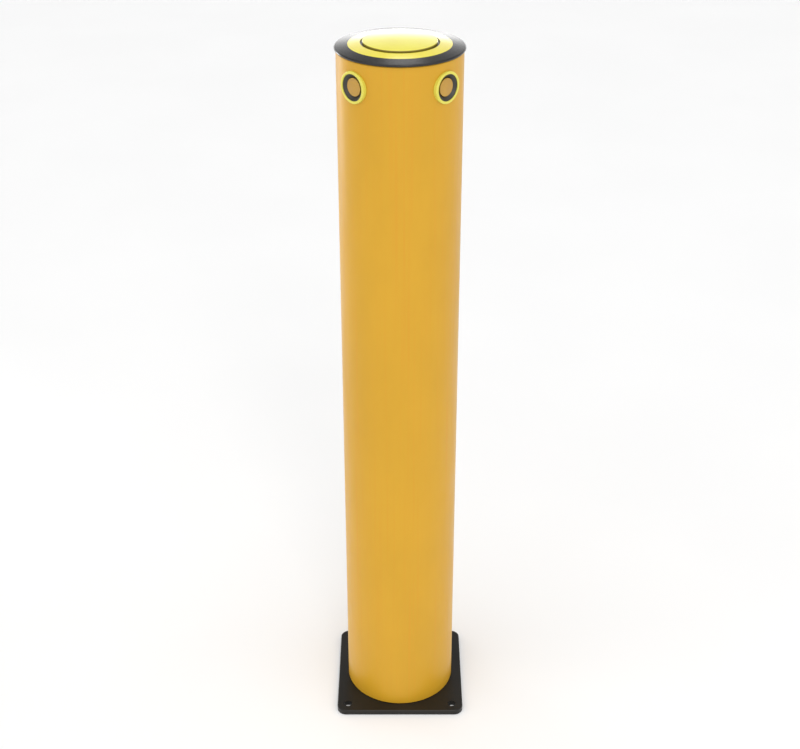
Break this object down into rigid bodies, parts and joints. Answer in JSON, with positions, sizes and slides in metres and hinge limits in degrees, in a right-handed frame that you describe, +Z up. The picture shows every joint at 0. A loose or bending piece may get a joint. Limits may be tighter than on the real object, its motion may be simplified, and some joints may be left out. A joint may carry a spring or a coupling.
{
  "type": "flexible impact bollard",
  "caption": "Round impact bollard on a bolted square plate: outer tube on soft blocks round a square core, with a domed cap locked by side plugs.",
  "frame": {"origin": "centre of the base plate's underside, on the floor", "axes": "+Z up along the bollard, -Y to the front; the cross bolt runs along X with its head at +X"},
  "size_m": [0.225, 0.225, 1.2],
  "materials": {
    "foot_paint": "semi-gloss powder coat",
    "collar_yellow": "satin moulded polymer",
    "core_black": "satin extruded polymer",
    "zinc": "bright zinc plate",
    "tube_yellow": "satin extruded polymer",
    "cap_black": "gloss moulded polymer",
    "inlay_yellow": "gloss moulded polymer",
    "block_cream": "matt elastomer",
    "plug_yellow": "satin moulded polymer",
    "plug_black": "matt moulded polymer",
    "plug_gold": "gloss moulded polymer"
  },
  "bodies": {
    "root": {"base_plate": "foot_paint", "base_post": "foot_paint", "foot_weld": "foot_paint", "foot_collar": "collar_yellow", "core_tube": "core_black", "cross_bolt": "zinc", "head_washer": "zinc", "nut_washer": "zinc", "lock_nut": "zinc", "outer_tube": "tube_yellow", "cap_body": "cap_black", "cap_ring_inlay": "inlay_yellow", "cap_centre_disc": "inlay_yellow", "block_low_front": "block_cream", "block_low_right": "block_cream", "block_low_back": "block_cream", "block_low_left": "block_cream", "block_middle_front": "block_cream", "block_middle_right": "block_cream", "block_middle_back": "block_cream", "block_middle_left": "block_cream", "block_top_front": "block_cream", "block_top_right": "block_cream", "block_top_back": "block_cream", "block_top_left": "block_cream", "plug_ring_front_right": "plug_yellow", "plug_body_front_right": "plug_black", "plug_cap_front_right": "plug_gold", "plug_ring_back_right": "plug_yellow", "plug_body_back_right": "plug_black", "plug_cap_back_right": "plug_gold", "plug_ring_back_left": "plug_yellow", "plug_body_back_left": "plug_black", "plug_cap_back_left": "plug_gold", "plug_ring_front_left": "plug_yellow", "plug_body_front_left": "plug_black", "plug_cap_front_left": "plug_gold"}
  },
  "joints": []
}
